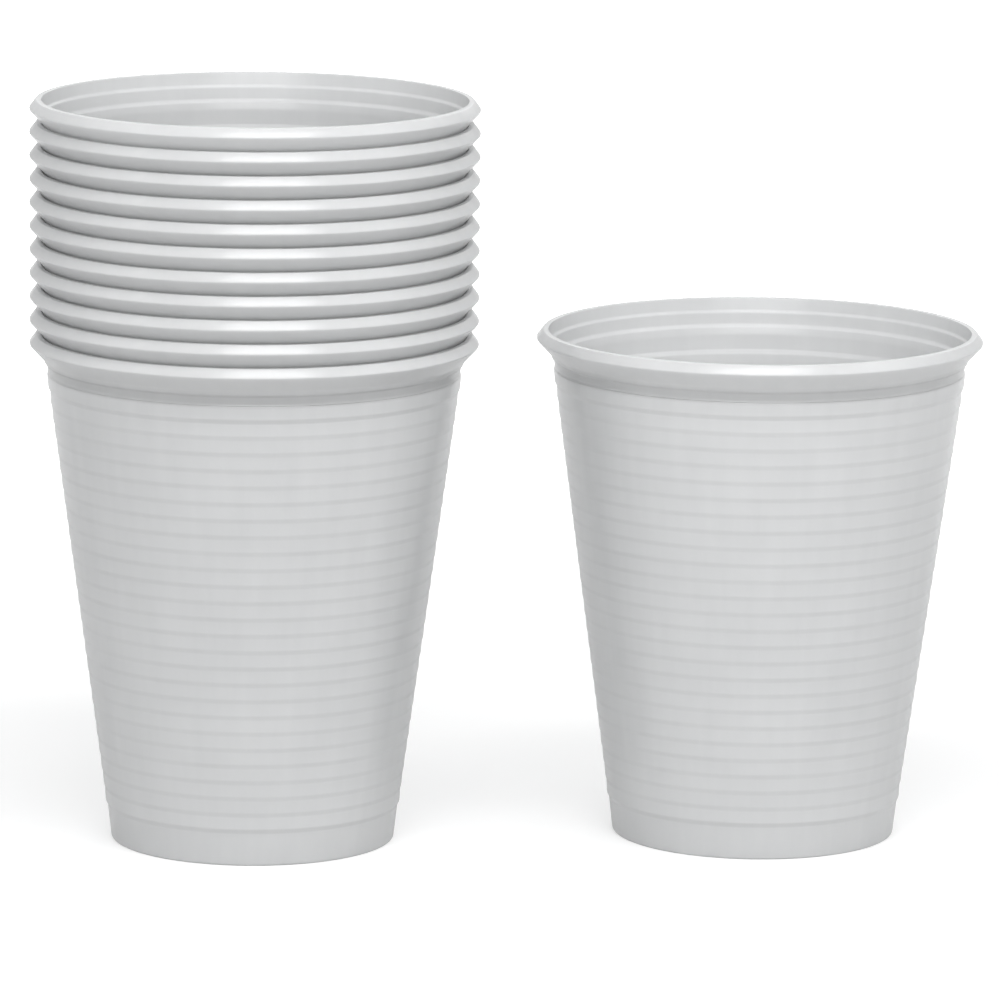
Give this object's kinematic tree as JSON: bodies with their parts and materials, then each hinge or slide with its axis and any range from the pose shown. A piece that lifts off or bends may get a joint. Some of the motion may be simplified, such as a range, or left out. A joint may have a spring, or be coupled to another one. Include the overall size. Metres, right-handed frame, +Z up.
{
  "type": "stack of disposable cups",
  "caption": "Nested stack of thin tapered plastic drinking cups with rolled lips, and one loose cup beside it to drink from.",
  "frame": {"origin": "on the table, at the middle of the set's bounding box", "axes": "+Z up, +X from the stack towards the loose cup, -Y towards the viewer of the picture"},
  "size_m": [0.149, 0.0778, 0.1167],
  "materials": {
    "cup_plastic": "milky white thermoformed polypropylene, satin gloss"
  },
  "bodies": {
    "bottom_cup": {"bottom_cup": "cup_plastic"},
    "nested_cup_02": {"nested_cup_02": "cup_plastic"},
    "nested_cup_03": {"nested_cup_03": "cup_plastic"},
    "nested_cup_04": {"nested_cup_04": "cup_plastic"},
    "nested_cup_05": {"nested_cup_05": "cup_plastic"},
    "nested_cup_06": {"nested_cup_06": "cup_plastic"},
    "nested_cup_07": {"nested_cup_07": "cup_plastic"},
    "nested_cup_08": {"nested_cup_08": "cup_plastic"},
    "nested_cup_09": {"nested_cup_09": "cup_plastic"},
    "nested_cup_10": {"nested_cup_10": "cup_plastic"},
    "top_cup": {"top_cup": "cup_plastic"},
    "loose_cup": {"loose_cup": "cup_plastic"}
  },
  "joints": [
    {"name": "nested_cup_02_lift", "type": "slide", "parent": "bottom_cup", "child": "nested_cup_02", "axis": [0, 0, 1], "range_m": [0, 0.08]},
    {"name": "nested_cup_03_lift", "type": "slide", "parent": "nested_cup_02", "child": "nested_cup_03", "axis": [0, 0, 1], "range_m": [0, 0.08]},
    {"name": "nested_cup_04_lift", "type": "slide", "parent": "nested_cup_03", "child": "nested_cup_04", "axis": [0, 0, 1], "range_m": [0, 0.08]},
    {"name": "nested_cup_05_lift", "type": "slide", "parent": "nested_cup_04", "child": "nested_cup_05", "axis": [0, 0, 1], "range_m": [0, 0.08]},
    {"name": "nested_cup_06_lift", "type": "slide", "parent": "nested_cup_05", "child": "nested_cup_06", "axis": [0, 0, 1], "range_m": [0, 0.08]},
    {"name": "nested_cup_07_lift", "type": "slide", "parent": "nested_cup_06", "child": "nested_cup_07", "axis": [0, 0, 1], "range_m": [0, 0.08]},
    {"name": "nested_cup_08_lift", "type": "slide", "parent": "nested_cup_07", "child": "nested_cup_08", "axis": [0, 0, 1], "range_m": [0, 0.08]},
    {"name": "nested_cup_09_lift", "type": "slide", "parent": "nested_cup_08", "child": "nested_cup_09", "axis": [0, 0, 1], "range_m": [0, 0.08]},
    {"name": "nested_cup_10_lift", "type": "slide", "parent": "nested_cup_09", "child": "nested_cup_10", "axis": [0, 0, 1], "range_m": [0, 0.08]},
    {"name": "top_cup_lift", "type": "slide", "parent": "nested_cup_10", "child": "top_cup", "axis": [0, 0, 1], "range_m": [0, 0.08]},
    {"name": "loose_cup_lift", "type": "slide", "parent": "bottom_cup", "child": "loose_cup", "axis": [0, 0, 1], "range_m": [0, 0.125]}
  ]
}
